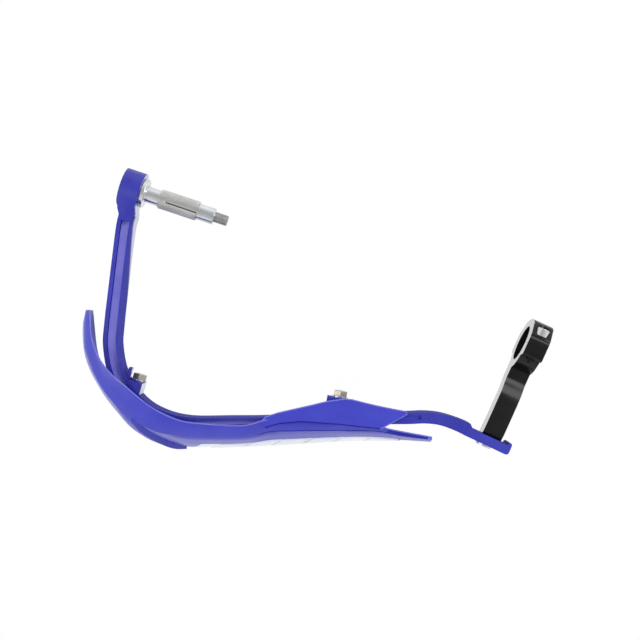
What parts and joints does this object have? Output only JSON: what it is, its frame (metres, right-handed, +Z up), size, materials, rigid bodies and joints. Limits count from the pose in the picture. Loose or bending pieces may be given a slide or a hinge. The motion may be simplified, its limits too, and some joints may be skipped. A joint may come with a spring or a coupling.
{
  "type": "motorcycle hand guard",
  "caption": "Wraparound motorcycle hand guard: a flanged plastic bar bent round the hand, a shield on its front, a two-piece handlebar clamp with an arm, and a bar-end expander.",
  "frame": {"origin": "centre of the handlebar clamp bore", "axes": "+X along the handlebar at the clamp, towards the middle of the machine; -Y to the front of the machine; +Z up"},
  "size_m": [0.3628, 0.2162, 0.0804],
  "materials": {
    "guard_blue": "satin",
    "shield_blue": "satin",
    "pale_block": "satin",
    "zinc": "satin",
    "knurled_zinc": "satin",
    "passivated": "satin",
    "stainless": "satin",
    "anodised_black": "satin",
    "spacer_grey": "matte"
  },
  "bodies": {
    "root": {"guard_bar": "guard_blue", "shield": "shield_blue", "shield_blocks": "pale_block", "outer_shield_screw": "stainless", "outer_shield_washer": "zinc", "outer_shield_nut": "passivated", "outer_spacer": "spacer_grey", "inner_shield_screw": "stainless", "inner_shield_washer": "zinc", "inner_shield_nut": "passivated", "inner_spacer": "spacer_grey", "bar_end_screw": "zinc", "bar_end_cup_washer": "zinc", "lug_bush": "zinc", "flanged_collar": "zinc", "expander_sleeve": "knurled_zinc", "wedge_nut": "zinc", "clamp_arm": "anodised_black", "clamp_cap": "anodised_black", "upper_clamp_screw": "stainless", "lower_clamp_screw": "stainless", "arm_screw": "stainless", "arm_washer": "stainless"}
  },
  "joints": []
}
